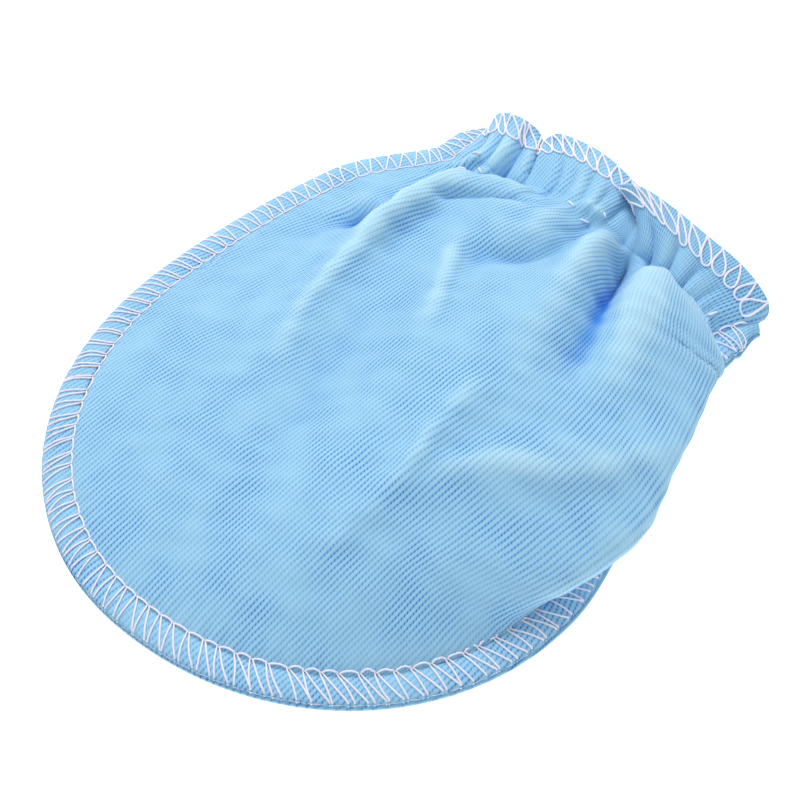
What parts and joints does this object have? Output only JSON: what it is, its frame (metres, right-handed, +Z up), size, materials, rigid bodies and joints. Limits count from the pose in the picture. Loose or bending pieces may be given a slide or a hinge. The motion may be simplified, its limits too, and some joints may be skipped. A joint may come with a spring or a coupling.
{
  "type": "baby mitten",
  "caption": "Newborn baby's scratch mitten: two round-tipped cotton panels sewn edge to edge, gathered by a sewn-in elastic, with a loose frill at the cuff",
  "frame": {"origin": "On the surface that the mitten lies on, under the middle of its box", "axes": "+Y from the fingertips to the cuff, +Z up, +X to the mitten's right as seen from above with the cuff away from the viewer"},
  "size_m": [0.0936, 0.1148, 0.0164],
  "materials": {
    "front_panel": "light blue cotton interlock, soft and matt",
    "back_panel": "light blue cotton interlock, soft and matt"
  },
  "bodies": {
    "root": {"front_panel": "front_panel", "back_panel": "back_panel"}
  },
  "joints": []
}
